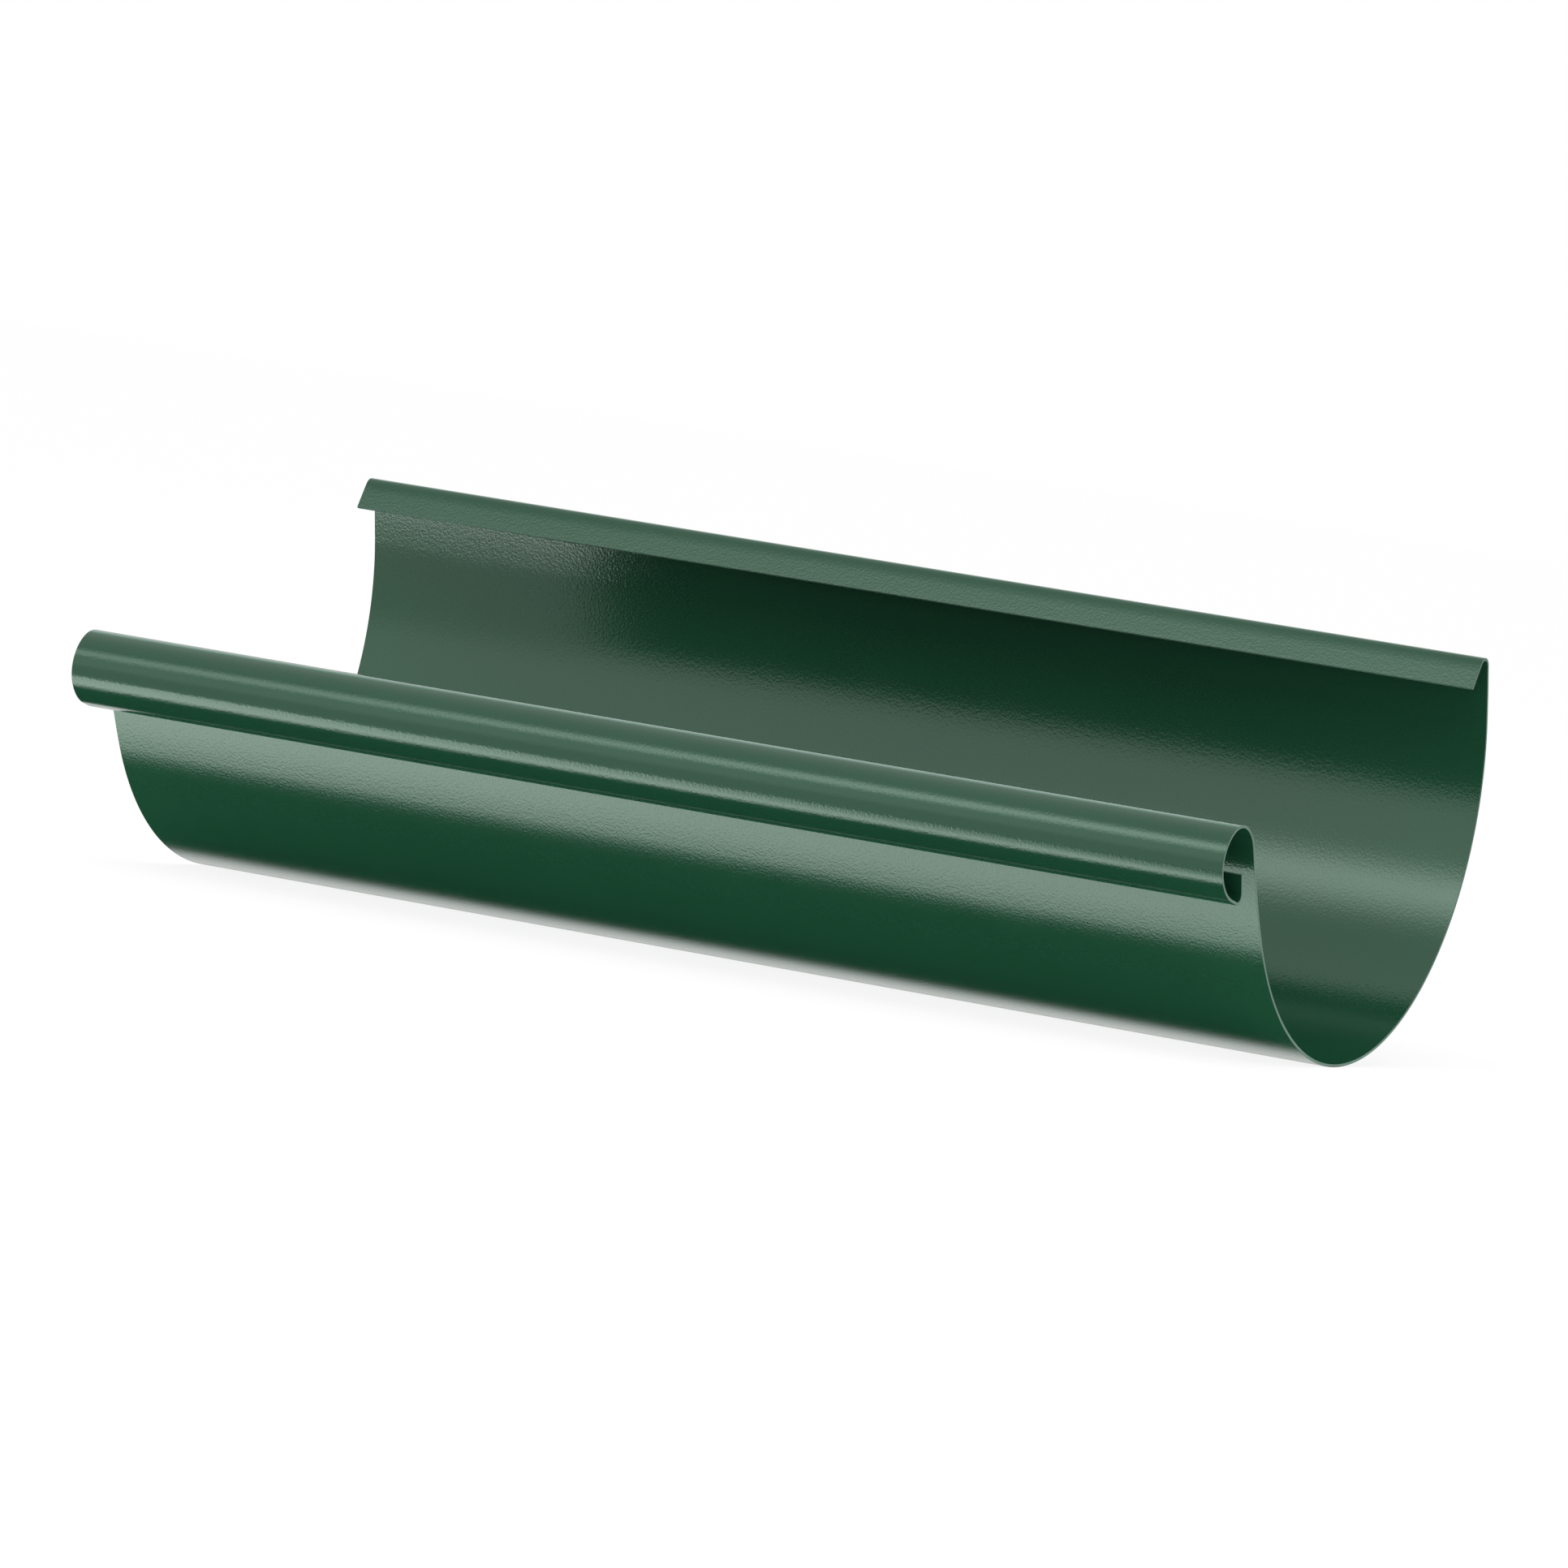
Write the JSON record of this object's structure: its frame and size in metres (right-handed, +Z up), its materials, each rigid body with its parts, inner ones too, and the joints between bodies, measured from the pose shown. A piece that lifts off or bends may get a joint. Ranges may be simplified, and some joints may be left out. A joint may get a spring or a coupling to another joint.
{
  "type": "half-round gutter section",
  "caption": "Short straight length of half-round steel roof gutter, open above and at both ends, with a rolled front bead and a hooked rear edge.",
  "frame": {"origin": "middle of the line on which the round belly rests, straight below the trough's axis and half way along the section", "axes": "+X along the gutter, +Y from the beaded front wall towards the hooked rear wall, +Z up from the level floor that the section lies on"},
  "size_m": [0.3, 0.1444, 0.0972],
  "materials": {
    "coated_steel": "dark moss green colour coat, semi-gloss with a fine pebbled grain"
  },
  "bodies": {
    "root": {"gutter_section": "coated_steel"}
  },
  "joints": []
}
